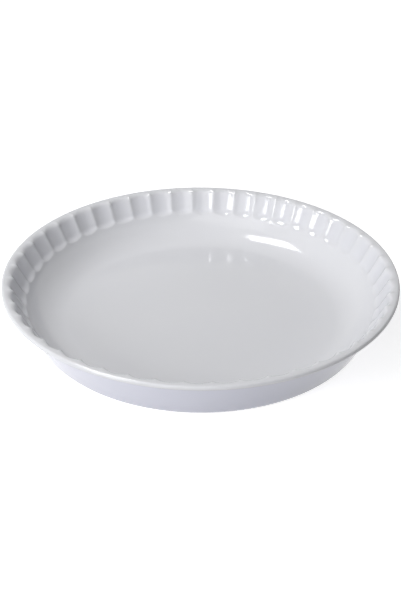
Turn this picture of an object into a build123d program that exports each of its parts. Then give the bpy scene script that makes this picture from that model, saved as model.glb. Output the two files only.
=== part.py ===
from build123d import *
import math
import os

# A round ceramic pie dish with a fluted inner wall, in millimetres.
# The dish turns about Z and stands on its foot ring at Z = 0, with its centre on the Z axis.
# Outlines are drawn in the plane of a half section: distance from the axis, then height.

# Overall sizes of the finished, glazed dish
rim_d = 280.0                # across the edge of the lip
dish_h = 39.0                # from the table to the top of the lip

# Lip
lip_t = 3.1                  # thickness of the lip
lip_overhang = 5.2           # how far the lip stands out past the outer wall
lip_w = 7.2                  # from the lip's edge to where the inner wall would meet its top
lip_top_r = 1.7              # rounding of the lip's upper edge
lip_flat = 0.2               # upright stretch left between the lip's two roundings
lip_land = 0.3               # level stretch left on the lip's top, before it rounds into the inner wall
neck_r = 0.8                 # hollow rounding where the outer wall meets the lip

# Wall and floor
outer_lean = 27.2            # outer wall, degrees from upright
inner_lean = 28.5            # inner wall, degrees from upright
heel_z = 19.0                # height below which the inner wall leans further, from the table
heel_lean = 42.0             # lower inner wall, degrees from upright
heel_r = 25.0                # hollow rounding between the two leans
floor_t = 4.0                # thickness of the floor
floor_r = 30.0               # hollow rounding from the inner wall to the floor
base_r = 10.0                # rounding from the outer wall to the foot ring

# Foot ring
foot_h = 1.2                 # height of the hollow under the floor
foot_w = 3.0                 # width of the standing face
foot_r = 0.6                 # hollow rounding inside the ring
foot_edge_r = 0.3            # rounding of the ring's inner edge

# Scoops round the inner wall
scoop_count = 48
scoop_depth = 1.8            # depth below the inner wall, at a scoop's middle
scoop_reach = 17.0           # from the top of the lip down to a scoop's lower end
scoop_shoulder_r = 5.5       # rounding of a scoop's bed on to the lip's top
scoop_run_out = 0.15         # how far that rounding would rise above the lip's top
scoop_end_share = 0.6        # length of the stick's rounded end, as a share of its hollow's radius
crest_turn = 4.3             # a crest between two scoops, degrees from +Y towards +X

# Glaze
glaze_t = 0.4                # thickness of the glaze coats
bare_h = 0.6                 # height to which the foot ring is wiped free of glaze
seam_in = 1.6                # dip line under the lip, outward from the outer wall
bond_gap = 0.02              # hairline kept between a coat and the clay, for the bond
zone_depth = 0.9             # how deep in the clay the shapes that part the coats are drawn

# Length by which drawn shapes run past what they cut
overrun = 5.0

# Places worked out from the sizes above
right_angle = math.pi / 2
outer_slope = math.radians(outer_lean)
inner_slope = math.radians(inner_lean)
heel_slope = math.radians(heel_lean)
rim_r = rim_d / 2
lip_z = dish_h - lip_t
lip_low_r = lip_t - lip_top_r - lip_flat
floor_z = foot_h + floor_t
wall_top_r = rim_r - lip_overhang
wall_foot_r = wall_top_r - lip_z * math.tan(outer_slope)
land_r = rim_r - lip_w
shoulder_r = (lip_w - lip_top_r - lip_land) / math.tan((right_angle - inner_slope) / 2)
heel_edge_r = land_r - (dish_h - heel_z) * math.tan(inner_slope)
floor_edge_r = heel_edge_r - (heel_z - floor_z) * math.tan(heel_slope)
ring_out_r = wall_foot_r - base_r * math.tan((right_angle - outer_slope) / 2)
ring_in_r = ring_out_r - foot_w
ring_mid_r = ring_out_r - foot_w / 2
floor_mid_z = foot_h + floor_t / 2
seam_r = wall_top_r + seam_in
pitch = 360 / scoop_count

# Neighbouring scoops meet in a crest half way down their reach, which sets their hollow
crest_r = land_r - scoop_reach / 2 * math.tan(inner_slope)
scoop_half_w = crest_r * math.tan(math.radians(pitch / 2))
scoop_r = (scoop_half_w ** 2 + scoop_depth ** 2) / (2 * scoop_depth)


def finished_section():
    """Half section through the glazed dish, drawn a little past the axis."""
    corners = [
        ((-overrun, foot_h), 0),
        ((ring_in_r, foot_h), foot_r),
        ((ring_in_r, 0), foot_edge_r),
        ((wall_foot_r, 0), base_r),
        ((wall_top_r, lip_z), neck_r),
        ((rim_r, lip_z), lip_low_r),
        ((rim_r, dish_h), lip_top_r),
        ((land_r, dish_h), shoulder_r),
        ((heel_edge_r, heel_z), heel_r),
        ((floor_edge_r, floor_z), floor_r),
        ((-overrun, floor_z), 0),
    ]
    points = [point for point, rounding in corners]
    roundings = [rounding for point, rounding in corners]
    return make_face(FilletPolyline(*points, radius=roundings, close=True))


def block(width, height):
    """Rectangle of the section's plane from the axis at table level."""
    return Rectangle(width, height, align=(Align.MIN, Align.MIN))


def right_half(section):
    """The part of a section on the +X side of the axis."""
    return section & block(rim_r + overrun, dish_h + overrun)


def body_section(bond=0):
    """Half section of the clay: the finished dish less the glaze, but full size at the foot.
    With a bond, what is under the glaze is that much larger."""
    finished = finished_section()
    under_glaze = offset(finished, amount=bond - glaze_t)
    bare_foot = finished & block(rim_r, bare_h + bond)
    return right_half(under_glaze + bare_foot)


def outside_zone():
    """Region of the section that holds the outer wall's glaze and ends within the clay."""
    wall_at_floor_r = wall_foot_r + floor_z * math.tan(outer_slope)
    points = [
        (ring_mid_r, 0),
        (ring_mid_r, floor_mid_z),
        (wall_at_floor_r - zone_depth, floor_z),
        (wall_top_r - zone_depth, lip_z),
        (seam_r, dish_h - lip_t / 2),
        (seam_r, 0),
    ]
    return make_face(Polyline(*points, close=True))


def underside_zone():
    """Region of the section that holds the glaze inside the foot ring."""
    return block(ring_mid_r, floor_mid_z)


def turned(section, angle=360):
    """Solid made by turning a half section about Z, from the +X axis."""
    return revolve(Plane.XZ * section, axis=Axis.Z, revolution_arc=angle)


def scoop_cutter(hollow):
    """The round stick that presses a scoop, above the +X axis: a bend, a straight and a blunt round end."""
    down = Vector(-math.sin(inner_slope), -math.cos(inner_slope))
    out = Vector(math.cos(inner_slope), -math.sin(inner_slope))
    wall_top = Vector(land_r, dish_h)

    # The bend follows the rounding of the scoop's bed on to the lip
    fall = scoop_shoulder_r * (1 - math.sin(inner_slope)) - scoop_depth * math.sin(inner_slope)
    along = (fall - scoop_run_out) / math.cos(inner_slope)
    bend_centre = wall_top + out * (scoop_depth + scoop_shoulder_r) + down * along
    bend_r = scoop_shoulder_r + scoop_r
    bend_start = bend_centre + Vector(0, bend_r)
    bend_middle = bend_centre + (Vector(0, bend_r) - out * bend_r).normalized() * bend_r
    bend_end = bend_centre - out * bend_r

    # The end lies where it ends the scoop at its reach below the lip's top
    lower_end = wall_top + down * (scoop_reach / math.cos(inner_slope))
    end_centre = lower_end - down * scoop_half_w * scoop_end_share - out * (scoop_r - scoop_depth)
    end_length = scoop_r * scoop_end_share + hollow - scoop_r

    bend = ThreePointArc(bend_start, bend_middle, bend_end)
    path = Plane.XZ * Wire([bend, Line(bend_end, end_centre)])
    stick = sweep(Plane(origin=path @ 0, z_dir=path % 0) * Circle(hollow), path=path)
    blunt = Rectangle(hollow, end_length, align=(Align.MIN, Align.MIN)) & Ellipse(hollow, end_length)
    end = revolve(Plane.XZ * blunt, axis=Axis.Z)
    return stick + Plane(origin=path @ 1, z_dir=path % 1) * end


def pressed(section, hollow):
    """One scoop's share of a turned solid, from crest to crest, with the scoop pressed into it."""
    return turned(section, pitch) - Rot(0, 0, pitch / 2) * scoop_cutter(hollow)


def run_of(share, count):
    """Neighbouring copies of one scoop's share joined in a run, by doubling runs of half its length."""
    if count == 1:
        return share
    half_count = count // 2
    half = run_of(share, half_count)
    run = half + Rot(0, 0, pitch * half_count) * half
    if count % 2:
        run += Rot(0, 0, pitch * (count - 1)) * share
    return run


def ring_of(share):
    """The whole ring of shares, turned so that a crest lies where it should."""
    return Rot(0, 0, 90 - crest_turn) * run_of(share, scoop_count)


def clay_share(bond=0):
    """One scoop's share of the fired body."""
    return pressed(body_section(bond), scoop_r + glaze_t - bond)


def ceramic_body():
    """The fired clay body, one piece from floor to lip."""
    return ring_of(clay_share())


def glaze_inside():
    """The coat on the floor, the fluted wall and the lip, down to the dip line under the lip."""
    inner = right_half(finished_section()) - outside_zone() - underside_zone()
    return ring_of(pressed(inner, scoop_r) - clay_share(bond_gap))


def glaze_outside():
    """The coat on the outer wall, from the dip line down to the wiped line over the foot."""
    return turned(finished_section() & outside_zone() - body_section(bond_gap))


def glaze_underside():
    """The coat inside the foot ring, ending at the wiped line."""
    return turned(finished_section() & underside_zone() - body_section(bond_gap))


os.makedirs("parts", exist_ok=True)
export_step(ceramic_body(), "parts/ceramic_body.step")
export_step(glaze_inside(), "parts/glaze_inside.step")
export_step(glaze_outside(), "parts/glaze_outside.step")
export_step(glaze_underside(), "parts/glaze_underside.step")
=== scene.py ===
import math

import bpy
from mathutils import Matrix, Vector


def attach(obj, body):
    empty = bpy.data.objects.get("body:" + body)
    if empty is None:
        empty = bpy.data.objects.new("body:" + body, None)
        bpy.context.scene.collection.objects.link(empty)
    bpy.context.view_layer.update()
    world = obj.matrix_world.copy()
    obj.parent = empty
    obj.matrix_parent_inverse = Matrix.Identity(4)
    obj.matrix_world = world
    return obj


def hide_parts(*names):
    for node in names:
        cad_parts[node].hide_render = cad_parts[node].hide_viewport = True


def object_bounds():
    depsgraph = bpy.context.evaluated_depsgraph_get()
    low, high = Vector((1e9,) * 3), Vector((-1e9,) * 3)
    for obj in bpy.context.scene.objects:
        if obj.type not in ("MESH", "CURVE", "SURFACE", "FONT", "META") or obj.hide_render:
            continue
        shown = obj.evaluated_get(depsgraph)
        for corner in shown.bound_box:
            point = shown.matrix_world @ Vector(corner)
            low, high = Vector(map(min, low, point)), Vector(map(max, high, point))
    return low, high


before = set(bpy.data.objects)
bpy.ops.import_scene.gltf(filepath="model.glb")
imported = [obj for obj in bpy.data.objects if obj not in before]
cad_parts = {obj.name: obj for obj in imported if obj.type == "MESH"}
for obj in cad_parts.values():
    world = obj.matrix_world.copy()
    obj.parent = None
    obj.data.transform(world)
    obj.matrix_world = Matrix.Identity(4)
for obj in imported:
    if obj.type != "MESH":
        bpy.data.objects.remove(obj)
cad_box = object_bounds()

# The clay body: pale fired clay, pressed and turned to a template and glazed nearly all over. Only the
# standing face of the foot ring is bare, wiped clean so that the dish does not stick to the kiln shelf.
# The template is a half section: floor, inner wall, lip, outer wall, foot ring, underside.
rim_r = cad_box[1][0]
dish_h = cad_box[1][2]
lip_thick = 0.0031
lip_overhang = 0.0052
lip_width = 0.0072
lip_top_round = 0.0017
lip_low_round = 0.0012
lip_land = 0.0003
neck_round = 0.0008
floor_z = 0.0052
floor_round = 0.0300
heel_z = 0.0190
heel_round = 0.0250
base_round = 0.0100
foot_hollow = 0.0012
foot_width = 0.0030
foot_round = 0.0006
foot_edge_round = 0.0003
dip_line_out = 0.0016
wiped_z = 0.0006
glaze_thick = 0.0004
outer_lean = math.radians(27.2)
inner_lean = math.radians(28.5)
heel_lean = math.radians(42.0)

under_lip_z = dish_h - lip_thick
outer_top_r = rim_r - lip_overhang
dip_line_r = outer_top_r + dip_line_out
outer_foot_r = outer_top_r - under_lip_z * math.tan(outer_lean)
land_r = rim_r - lip_width
shoulder_round = (lip_width - lip_top_round - lip_land) / math.tan((math.pi / 2 - inner_lean) / 2)
heel_r = land_r - (dish_h - heel_z) * math.tan(inner_lean)
floor_r = heel_r - (heel_z - floor_z) * math.tan(heel_lean)
ring_out_r = outer_foot_r - base_round * math.tan((math.pi / 2 - outer_lean) / 2)
ring_in_r = ring_out_r - foot_width


def outline(corners):
    """Points along an outline, each with the direction into the clay. A corner is given as
    (radius, height, rounding, steps round it, steps along the run after it)."""
    places = [Vector(corner[:2]) for corner in corners]
    points = []
    start = places[0]
    for here in range(1, len(corners)):
        come = (places[here] - places[here - 1]).normalized()
        inward = Vector((come.y, -come.x))
        go = (places[min(here + 1, len(places) - 1)] - places[here]).normalized() or come
        bend = math.atan2(come.x * go.y - come.y * go.x, come.dot(go))
        rounding, turns = corners[here][2:4]
        runs = corners[here - 1][4]
        entry = places[here] - come * rounding * math.tan(abs(bend) / 2)
        if not points:
            points.append((start, inward))
        for step in range(1, runs + 1):
            points.append((start.lerp(entry, step / runs), inward))
        centre = entry + Vector((-come.y, come.x)) * math.copysign(rounding, bend)
        for step in range(1, turns + 1):
            turn = Matrix.Rotation(bend * step / turns, 2)
            points.append((centre + turn @ (entry - centre), turn @ inward))
        start = points[-1][0]
    return points


dish_outline = outline([
    (0, floor_z, 0, 0, 6),
    (floor_r, floor_z, floor_round, 14, 6),
    (heel_r, heel_z, heel_round, 8, 16),
    (land_r, dish_h, shoulder_round, 14, 3),
    (rim_r, dish_h, lip_top_round, 8, 1),
    (rim_r, under_lip_z, lip_low_round, 6, 1),
    (dip_line_r, under_lip_z, 0, 0, 1),
    (outer_top_r, under_lip_z, neck_round, 5, 12),
    (outer_foot_r, 0, base_round, 20, 3),
    (ring_in_r, 0, foot_edge_round, 4, 2),
    (ring_in_r, foot_hollow, foot_round, 5, 6),
    (0, foot_hollow, 0, 0, 0),
])

# The scoops: a ring of 48 shallow hollows that a round-nosed stick presses into the soft clay, from half
# way up the inner wall out on to the lip, where they run out. Neighbours meet in a crest, which has a
# small nose where it turns on to the lip.
scoop_count = 48
scoop_depth = 0.0018
scoop_reach = 0.0170
scoop_shoulder = 0.0055
scoop_run_out = 0.00015
scoop_lean = inner_lean
scoop_end_share = 0.6
scoop_edge_softness = 0.0004
crest_round = 0.0008
crest_nose_round = 0.0035
crest_nose_sharpness = 5.0
first_crest = math.radians(85.7)

half_pitch = math.pi / scoop_count
crest_r = land_r - scoop_reach / 2 * math.tan(inner_lean)
scoop_half_width = crest_r * math.tan(half_pitch)
stick_r = (scoop_half_width ** 2 + scoop_depth ** 2) / (2 * scoop_depth)
down = Vector((-math.sin(scoop_lean), -math.cos(scoop_lean)))
out = Vector((math.cos(scoop_lean), -math.sin(scoop_lean)))
wall_end = Vector((land_r - scoop_reach * math.tan(inner_lean), dish_h - scoop_reach))
bed_end = wall_end + out * scoop_depth
ball = bed_end - down * scoop_half_width * scoop_end_share - out * stick_r
bend_rise = dish_h + scoop_run_out - scoop_shoulder - bed_end.y + scoop_shoulder * math.sin(scoop_lean)
bend_centre = bed_end + out * scoop_shoulder - down * bend_rise / math.cos(scoop_lean)


def scoop_bed(place, inward):
    """How deep the middle of a scoop lies under a point of the outline, square to it."""
    off = place - bend_centre
    if place.y < bed_end.y - scoop_depth or inward.dot(out) < 0:
        return -scoop_depth
    if off.x > 0:
        return -scoop_run_out - off.x
    nearest = -off.dot(inward)
    rest = scoop_shoulder ** 2 - off.length_squared + nearest ** 2
    if rest > 0:
        to_bend = nearest - math.sqrt(rest)
        if (off + inward * to_bend).dot(down) < 0:
            return to_bend
    return (bed_end - place).dot(out) / inward.dot(out)


def crest_nose(place, inward):
    """How far a crest stands proud of the rounded shoulder, towards the corner of wall and lip."""
    turned = inward.x * math.tan((math.pi / 2 - inner_lean) / 2) - inward.y - 1
    if turned <= 0 or place.y < dish_h - shoulder_round * (1 - math.sin(inner_lean)):
        return 0
    nearest_face = max(-inward.y, inward.dot(out))
    return min(turned * (shoulder_round - crest_nose_round), shoulder_round * (1 / nearest_face - 1))


def skin(points, depth=0, every=1):
    """A stretch of the outline laid that deep under the dish's surface, for turning. Each row has the
    place, the way into the clay, the scoop's bed, the way past the stick's end and the crest's nose."""
    kept = points[:-1:every] + points[-1:]
    return [(
        place + inward * depth,
        inward,
        scoop_bed(place, inward),
        max((place - ball).dot(down), 0) / scoop_end_share,
        crest_nose(place, inward),
    ) for place, inward in kept]


# The turning: the rule that makes this piece and the glaze coats. It turns a section about the dish's
# axis and sinks it where the scoops lie, crest to crest, with the crests rounded as the glaze leaves them.
weld_gap = 0.000001
crease_angle = math.radians(40)

turning = bpy.data.node_groups.new("turning_with_scoops", "GeometryNodeTree")
turning_inputs = {
    "Section": "NodeSocketGeometry",
    "Scoops": "NodeSocketInt",
    "Steps per scoop": "NodeSocketInt",
    "Stick radius": "NodeSocketFloat",
    "Crest rounding": "NodeSocketFloat",
    "Nose sharpness": "NodeSocketFloat",
    "Edge softness": "NodeSocketFloat",
    "First crest": "NodeSocketFloat",
    "Crease angle": "NodeSocketFloat",
    "Finish": "NodeSocketMaterial",
}
turning_socket = {
    name: turning.interface.new_socket(name=name, in_out="INPUT", socket_type=kind).identifier
    for name, kind in turning_inputs.items()
}
turning.interface.new_socket(name="Piece", in_out="OUTPUT", socket_type="NodeSocketGeometry")
given = turning.nodes.new("NodeGroupInput").outputs


def put(tree, kind, sockets=(), **settings):
    """A node of a tree with its settings, and its input sockets joined or filled in."""
    node = tree.nodes.new(kind)
    for name, value in settings.items():
        setattr(node, name, value)
    for key, value in dict(sockets).items():
        if isinstance(value, bpy.types.NodeSocket):
            tree.links.new(value, node.inputs[key])
        else:
            node.inputs[key].default_value = value
    return node


def turn_math(operation, *values):
    """The result of one sum in the turning."""
    return put(turning, "ShaderNodeMath", enumerate(values), operation=operation).outputs[0]


def of_section(name, data_type):
    """What the section's points carry under a name, looked up for the row that a point is in."""
    if name == "position":
        value = put(turning, "GeometryNodeInputPosition").outputs[0]
    else:
        node = put(turning, "GeometryNodeInputNamedAttribute", {"Name": name}, data_type=data_type)
        value = node.outputs[0]
    sockets = {"Geometry": given["Section"], "Value": value, "Index": row}
    return put(turning, "GeometryNodeSampleIndex", sockets, data_type=data_type).outputs[0]


rows = put(turning, "GeometryNodeAttributeDomainSize", {0: given["Section"]}).outputs["Point Count"]
columns = turn_math("ADD", turn_math("MULTIPLY", given["Scoops"], given["Steps per scoop"]), 1)
sheet = put(turning, "GeometryNodeMeshGrid", {"Vertices X": rows, "Vertices Y": columns}).outputs["Mesh"]
index = put(turning, "GeometryNodeInputIndex").outputs[0]
row = turn_math("FLOOR", turn_math("DIVIDE", index, columns))
column = turn_math("SUBTRACT", index, turn_math("MULTIPLY", row, columns))
share = turn_math("DIVIDE", column, given["Steps per scoop"])
pitch = turn_math("DIVIDE", math.tau, given["Scoops"])
azimuth = turn_math("ADD", given["First crest"], turn_math("MULTIPLY", share, pitch))
off_middle = turn_math("MULTIPLY", turn_math("SUBTRACT", turn_math("FRACT", share), 0.5), pitch)

place = put(turning, "ShaderNodeSeparateXYZ", {0: of_section("position", "FLOAT_VECTOR")}).outputs
sink = put(turning, "ShaderNodeSeparateXYZ", {0: of_section("sink", "FLOAT_VECTOR")}).outputs
bed = of_section("bed", "FLOAT")
past = of_section("past", "FLOAT")
nose = of_section("nose", "FLOAT")

side = turn_math("ABSOLUTE", turn_math("MULTIPLY", place["X"], turn_math("SINE", off_middle)))
crest = turn_math("MULTIPLY", place["X"], turn_math("SINE", turn_math("MULTIPLY", pitch, 0.5)))
crest_start = turn_math("SUBTRACT", crest, given["Crest rounding"])
over_crest = turn_math("MAXIMUM", turn_math("SUBTRACT", side, crest_start), 0)
eased = turn_math("MULTIPLY", turn_math("POWER", over_crest, 2), crest)
eased = turn_math("DIVIDE", eased, given["Crest rounding"])
side_squared = turn_math("SUBTRACT", turn_math("POWER", side, 2), eased)
spread = turn_math("ADD", side_squared, turn_math("POWER", past, 2))
under_root = turn_math("SUBTRACT", turn_math("POWER", given["Stick radius"], 2), spread)
rise = turn_math("SUBTRACT", given["Stick radius"], turn_math("SQRT", turn_math("MAXIMUM", under_root, 0)))
twice_r = turn_math("MAXIMUM", turn_math("MULTIPLY", place["X"], 2), scoop_half_width)
slant = turn_math("ABSOLUTE", sink["X"])
bow = turn_math("DIVIDE", turn_math("MULTIPLY", turn_math("POWER", side, 2), slant), twice_r)
pressed = turn_math("SUBTRACT", turn_math("ADD", bed, bow), rise)
pressed = turn_math("SMOOTH_MAX", pressed, 0, given["Edge softness"])
towards_crest = turn_math("DIVIDE", side, turn_math("MAXIMUM", crest, weld_gap))
near_crest = turn_math("POWER", towards_crest, given["Nose sharpness"])
depth = turn_math("SUBTRACT", pressed, turn_math("MULTIPLY", nose, near_crest))

radius = turn_math("ADD", place["X"], turn_math("MULTIPLY", sink["X"], depth))
height = turn_math("ADD", place["Z"], turn_math("MULTIPLY", sink["Z"], depth))
spot = put(turning, "ShaderNodeCombineXYZ", {
    "X": turn_math("MULTIPLY", radius, turn_math("COSINE", azimuth)),
    "Y": turn_math("MULTIPLY", radius, turn_math("SINE", azimuth)),
    "Z": height,
}).outputs[0]

pooled = put(turning, "GeometryNodeStoreNamedAttribute", {
    "Geometry": sheet,
    "Name": "pooled",
    "Value": turn_math("DIVIDE", depth, scoop_depth),
}, data_type="FLOAT", domain="POINT").outputs[0]
turned_sheet = put(turning, "GeometryNodeSetPosition", {"Geometry": pooled, "Position": spot}).outputs[0]
closed = put(turning, "GeometryNodeMergeByDistance", {
    "Geometry": turned_sheet,
    "Distance": weld_gap,
}).outputs[0]
smooth = put(turning, "GeometryNodeSetShadeSmooth", {"Geometry": closed}, domain="FACE").outputs[0]
bent = put(turning, "GeometryNodeInputMeshEdgeAngle").outputs["Unsigned Angle"]
creased = put(turning, "GeometryNodeSetShadeSmooth", {
    "Geometry": smooth,
    "Selection": turn_math("GREATER_THAN", bent, given["Crease angle"]),
    "Shade Smooth": False,
}, domain="EDGE").outputs[0]
real = put(turning, "GeometryNodeRealizeInstances", {"Geometry": creased}).outputs[0]
finished = put(turning, "GeometryNodeSetMaterial", {"Geometry": real, "Material": given["Finish"]}).outputs[0]
put(turning, "NodeGroupOutput", {"Piece": finished})


def turned_piece(name, section, steps, finish):
    """A closed piece made by turning a section, as a plain mesh."""
    mesh = bpy.data.meshes.new(name + "_section")
    places, inwards, beds, pasts, noses = zip(*section)
    edges = [(point, point + 1) for point in range(len(section) - 1)]
    mesh.from_pydata([(place.x, 0, place.y) for place in places], edges, [])
    sinks = mesh.attributes.new("sink", "FLOAT_VECTOR", "POINT")
    sinks.data.foreach_set("vector", [number for inward in inwards for number in (inward.x, 0, inward.y)])
    for carried, values in (("bed", beds), ("past", pasts), ("nose", noses)):
        attribute = mesh.attributes.new(carried, "FLOAT", "POINT")
        attribute.data.foreach_set("value", values)
    piece = bpy.data.objects.new(name, mesh)
    bpy.context.scene.collection.objects.link(piece)
    modifier = piece.modifiers.new("turning", "NODES")
    modifier.node_group = turning
    modifier[turning_socket["Scoops"]] = scoop_count
    modifier[turning_socket["Steps per scoop"]] = steps
    modifier[turning_socket["Stick radius"]] = stick_r
    modifier[turning_socket["Crest rounding"]] = crest_round
    modifier[turning_socket["Nose sharpness"]] = crest_nose_sharpness
    modifier[turning_socket["Edge softness"]] = scoop_edge_softness
    modifier[turning_socket["First crest"]] = first_crest
    modifier[turning_socket["Crease angle"]] = crease_angle
    modifier[turning_socket["Finish"]] = finish
    graph = bpy.context.evaluated_depsgraph_get()
    solid = bpy.data.meshes.new_from_object(piece.evaluated_get(graph))
    piece.modifiers.remove(modifier)
    piece.data = solid
    solid.name = name
    bpy.data.meshes.remove(mesh)
    return piece


# The clay's finish is matt and finely grained. It shows on the standing face alone.
clay = bpy.data.materials.new("fired_clay")
clay.use_nodes = True
clay_tree = clay.node_tree
clay_shader = clay_tree.nodes["Principled BSDF"]
clay_shader.inputs["IOR"].default_value = 1.45
clay_spots = put(clay_tree, "ShaderNodeTexCoord").outputs["Object"]
clay_grain = put(clay_tree, "ShaderNodeTexNoise", {"Vector": clay_spots, "Scale": 2600.0, "Detail": 3.0})
clay_stain = put(clay_tree, "ShaderNodeTexNoise", {"Vector": clay_spots, "Scale": 90.0, "Detail": 4.0})
clay_colour = put(clay_tree, "ShaderNodeMix", {
    0: clay_stain.outputs["Fac"],
    6: (0.70, 0.64, 0.56, 1),
    7: (0.84, 0.80, 0.74, 1),
}, data_type="RGBA").outputs[2]
clay_rough = put(clay_tree, "ShaderNodeMapRange", {0: clay_grain.outputs["Fac"], 3: 0.72, 4: 0.95}).outputs[0]
clay_bump = put(clay_tree, "ShaderNodeBump", {
    "Strength": 0.5,
    "Distance": 0.00008,
    "Height": clay_grain.outputs["Fac"],
}).outputs[0]
clay_tree.links.new(clay_colour, clay_shader.inputs["Base Color"])
clay_tree.links.new(clay_rough, clay_shader.inputs["Roughness"])
clay_tree.links.new(clay_bump, clay_shader.inputs["Normal"])

dip_line = Vector((dip_line_r, under_lip_z))
dip = min(range(len(dish_outline)), key=lambda i: (dish_outline[i][0] - dip_line).length)
bare = [i for i, (place, inward) in enumerate(dish_outline) if i > dip and place.y < wiped_z]
wiped_out, wiped_in = bare[0] - 1, bare[-1] + 1
clay_section = skin(dish_outline[:wiped_out + 1], glaze_thick)
clay_section += skin(dish_outline[wiped_out:wiped_in + 1])
clay_section += skin(dish_outline[wiped_in:], glaze_thick)
clay_body = turned_piece("clay_body", clay_section, 10, clay)
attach(clay_body, "root")
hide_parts("ceramic_body")


# The glaze: a glassy white coat, poured in and swilled round for the inside and lip, and dipped for the
# outside. It levels to a gloss with a slow swell in it, lies thinner on edges and crests, and deeper in
# the scoops. The outside's faint lavender cast is painted light, a cool bounce from the table painted
# into the outside glaze's colour, which the underside shares.
coat_back = 0.00036


def glaze(name, thin, thick, swell):
    """A glossy glaze that goes from its thin colour to its thick one where it pools."""
    material = bpy.data.materials.new(name)
    material.use_nodes = True
    tree = material.node_tree
    shader = tree.nodes["Principled BSDF"]
    shader.inputs["IOR"].default_value = 1.52
    spots = put(tree, "ShaderNodeTexCoord").outputs["Object"]
    cloud = put(tree, "ShaderNodeTexNoise", {"Vector": spots, "Scale": 22.0, "Detail": 3.0}).outputs["Fac"]
    pool = put(tree, "ShaderNodeAttribute", attribute_name="pooled").outputs["Fac"]
    deep = put(tree, "ShaderNodeMath", {0: cloud, 1: pool}, operation="ADD").outputs[0]
    amount = put(tree, "ShaderNodeMapRange", {0: deep, 1: 0.3, 2: 1.5}).outputs[0]
    colour = put(tree, "ShaderNodeMix", {0: amount, 6: thin, 7: thick}, data_type="RGBA").outputs[2]
    fine = put(tree, "ShaderNodeTexNoise", {"Vector": spots, "Scale": 700.0, "Detail": 2.0}).outputs["Fac"]
    rough = put(tree, "ShaderNodeMapRange", {0: cloud, 3: 0.07, 4: 0.13}).outputs[0]
    waves = put(tree, "ShaderNodeTexNoise", {"Vector": spots, "Scale": 75.0, "Detail": 1.0}).outputs["Fac"]
    swells = put(tree, "ShaderNodeBump", {"Strength": 1.0, "Distance": swell, "Height": waves}).outputs[0]
    peel = put(tree, "ShaderNodeBump", {
        "Strength": 1.0,
        "Distance": 0.0000012,
        "Height": fine,
        "Normal": swells,
    }).outputs[0]
    tree.links.new(colour, shader.inputs["Base Color"])
    tree.links.new(rough, shader.inputs["Roughness"])
    tree.links.new(peel, shader.inputs["Normal"])
    return material


glaze_in = glaze("glaze_inside", (0.780, 0.786, 0.815, 1), (0.750, 0.757, 0.800, 1), 0.00006)
# The outside coat's lavender is painted light: a cool bounce from below, painted into its colour.
glaze_out_painted_bounce = glaze("glaze_outside", (0.745, 0.755, 0.85, 1), (0.712, 0.728, 0.84, 1), 0.00008)

inside_front = dish_outline[:dip + 1]
inside_section = skin(inside_front) + skin(inside_front, coat_back, 3)[::-1]
inside = turned_piece("glaze_coat_inside", inside_section, 18, glaze_in)
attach(inside, "root")
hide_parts("glaze_inside")

outside_front = dish_outline[dip:wiped_out + 1]
outside_section = skin(outside_front) + skin(outside_front, coat_back)[::-1]
outside = turned_piece("glaze_coat_outside", outside_section + outside_section[:1], 8, glaze_out_painted_bounce)
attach(outside, "root")
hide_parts("glaze_outside")

under_front = dish_outline[wiped_in:]
under_section = skin(under_front, coat_back)[::-1] + skin(under_front)
underside = turned_piece("glaze_coat_underside", under_section, 8, glaze_out_painted_bounce)
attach(underside, "root")
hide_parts("glaze_underside")


# The floor: a wide, pale, matt studio table that the dish stands on.
def seen_in_picture(tree):
    """1 for the rays that show the studio itself, straight, mirrored or through glass, and 0 for others."""
    ray = put(tree, "ShaderNodeLightPath").outputs
    seen = ray["Is Camera Ray"]
    for also in ("Is Glossy Ray", "Is Transmission Ray"):
        seen = put(tree, "ShaderNodeMath", {0: seen, 1: ray[also]}, operation="MAXIMUM").outputs[0]
    return seen


floor_half = 3.0
floor_mesh = bpy.data.meshes.new("studio_floor")
floor_corners = [(-floor_half, -floor_half, 0), (floor_half, -floor_half, 0),
                 (floor_half, floor_half, 0), (-floor_half, floor_half, 0)]
floor_mesh.from_pydata(floor_corners, [], [(0, 1, 2, 3)])
studio_floor = bpy.data.objects.new("studio_floor", floor_mesh)
bpy.context.scene.collection.objects.link(studio_floor)
paper = bpy.data.materials.new("pale_floor")
paper.use_nodes = True
paper_tree = paper.node_tree
paper_tree.nodes.clear()
paper_matt = put(paper_tree, "ShaderNodeBsdfDiffuse", {"Color": (0.70, 0.70, 0.71, 1)}).outputs[0]
paper_glow = put(paper_tree, "ShaderNodeEmission", {"Color": (1, 1, 1, 1), "Strength": 0.80}).outputs[0]
paper_both = put(paper_tree, "ShaderNodeAddShader", {0: paper_matt, 1: paper_glow}).outputs[0]
paper_mix = put(paper_tree, "ShaderNodeMixShader", {
    0: seen_in_picture(paper_tree),
    1: paper_matt,
    2: paper_both,
}).outputs[0]
put(paper_tree, "ShaderNodeOutputMaterial", {"Surface": paper_mix})
floor_mesh.materials.append(paper)

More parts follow.
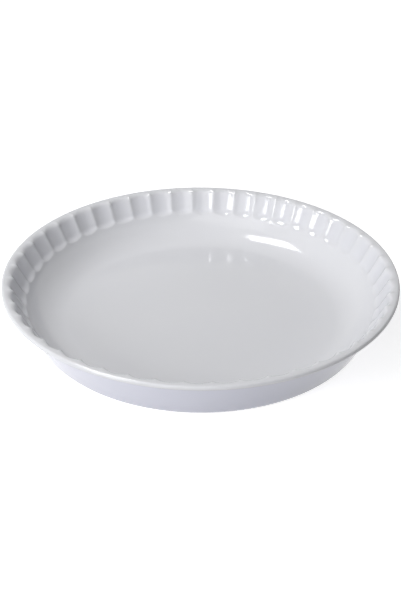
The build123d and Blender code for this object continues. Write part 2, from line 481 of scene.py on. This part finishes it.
# The studio's light: four soft boxes round the table, and a soft room that is seen as white.
world = bpy.data.worlds.new("soft_room")
bpy.context.scene.world = world
world.use_nodes = True
world_tree = world.node_tree
world_tree.nodes.clear()
room_seen = seen_in_picture(world_tree)
room_level = put(world_tree, "ShaderNodeMapRange", {0: room_seen, 3: 0.04, 4: 1.0}).outputs[0]
room = put(world_tree, "ShaderNodeBackground", {"Color": (1, 1, 1, 1), "Strength": room_level}).outputs[0]
put(world_tree, "ShaderNodeOutputWorld", {"Surface": room})


lamp_far = 1.3


def soft_box(name, azimuth, elevation, width, height, watts):
    """A soft box aimed at the dish, at a bearing from the camera's side, positive to its right."""
    lamp = bpy.data.lights.new(name, "AREA")
    lamp.shape = "RECTANGLE"
    lamp.size = width
    lamp.size_y = height
    lamp.energy = watts
    stand = bpy.data.objects.new(name, lamp)
    bpy.context.scene.collection.objects.link(stand)
    bearing = math.radians(azimuth)
    lift = math.radians(elevation)
    way = Vector((math.sin(bearing) * math.cos(lift), -math.cos(bearing) * math.cos(lift), math.sin(lift)))
    stand.location = way * lamp_far
    stand.rotation_euler = way.to_track_quat("Z", "Y").to_euler()


soft_box("key_box", azimuth=-49, elevation=22.5, width=0.46, height=0.40, watts=5.2)
soft_box("top_box", azimuth=-106, elevation=65.5, width=0.36, height=0.40, watts=8.2)
soft_box("front_box", azimuth=-24, elevation=44, width=1.0, height=0.8, watts=3.2)
soft_box("low_box", azimuth=-2, elevation=12, width=0.9, height=0.4, watts=2.3)


# The camera: a short telephoto on a stand in front of the table, looking down at the dish.
camera = bpy.data.cameras.new("camera")
camera.sensor_width = 36
camera.lens = 67.15
camera.clip_start = 0.01
camera_stand = bpy.data.objects.new("camera", camera)
bpy.context.scene.collection.objects.link(camera_stand)
camera_far = 0.7963
camera_lift = math.radians(29.908)
camera_look = math.radians(31.245)
camera_roll = math.radians(0.261)
aim_z = 0.037
ahead = Vector((0, math.cos(camera_look), -math.sin(camera_look)))
upward = Vector((0, math.sin(camera_look), math.cos(camera_look)))
level = Vector((1, 0, 0))
across = level * math.cos(camera_roll) + upward * math.sin(camera_roll)
upright = upward * math.cos(camera_roll) - level * math.sin(camera_roll)
camera_pose = Matrix((across, upright, -ahead)).transposed().to_4x4()
camera_pose.translation = (0, -camera_far * math.cos(camera_lift), camera_far * math.sin(camera_lift) + aim_z)
camera_stand.matrix_world = camera_pose
bpy.context.scene.camera = camera_stand
bpy.context.scene.view_settings.view_transform = "Standard"

bpy.context.view_layer.update()
